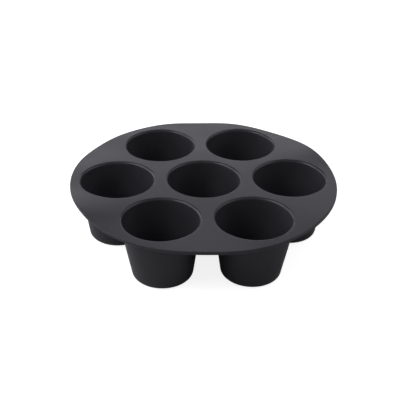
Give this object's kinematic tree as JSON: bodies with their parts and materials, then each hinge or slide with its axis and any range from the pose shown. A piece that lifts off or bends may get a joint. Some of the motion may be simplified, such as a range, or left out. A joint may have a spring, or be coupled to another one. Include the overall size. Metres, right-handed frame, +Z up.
{
  "type": "silicone muffin mould",
  "caption": "Round flexible baking mould: a flat tray with deep tapered cups hanging from it, one in the middle and a ring of them around it.",
  "frame": {"origin": "the middle of the underside of the middle cup, on the table", "axes": "+Z up through the cups' mouths; +X from the middle cup to the first ring cup, so that a row of three cups lies along X"},
  "size_m": [0.2, 0.2, 0.0455],
  "materials": {
    "silicone": "matte dark grey moulded silicone"
  },
  "bodies": {
    "root": {"tray": "silicone", "cup_centre": "silicone", "cup_ring_1": "silicone", "cup_ring_2": "silicone", "cup_ring_3": "silicone", "cup_ring_4": "silicone", "cup_ring_5": "silicone", "cup_ring_6": "silicone"}
  },
  "joints": []
}
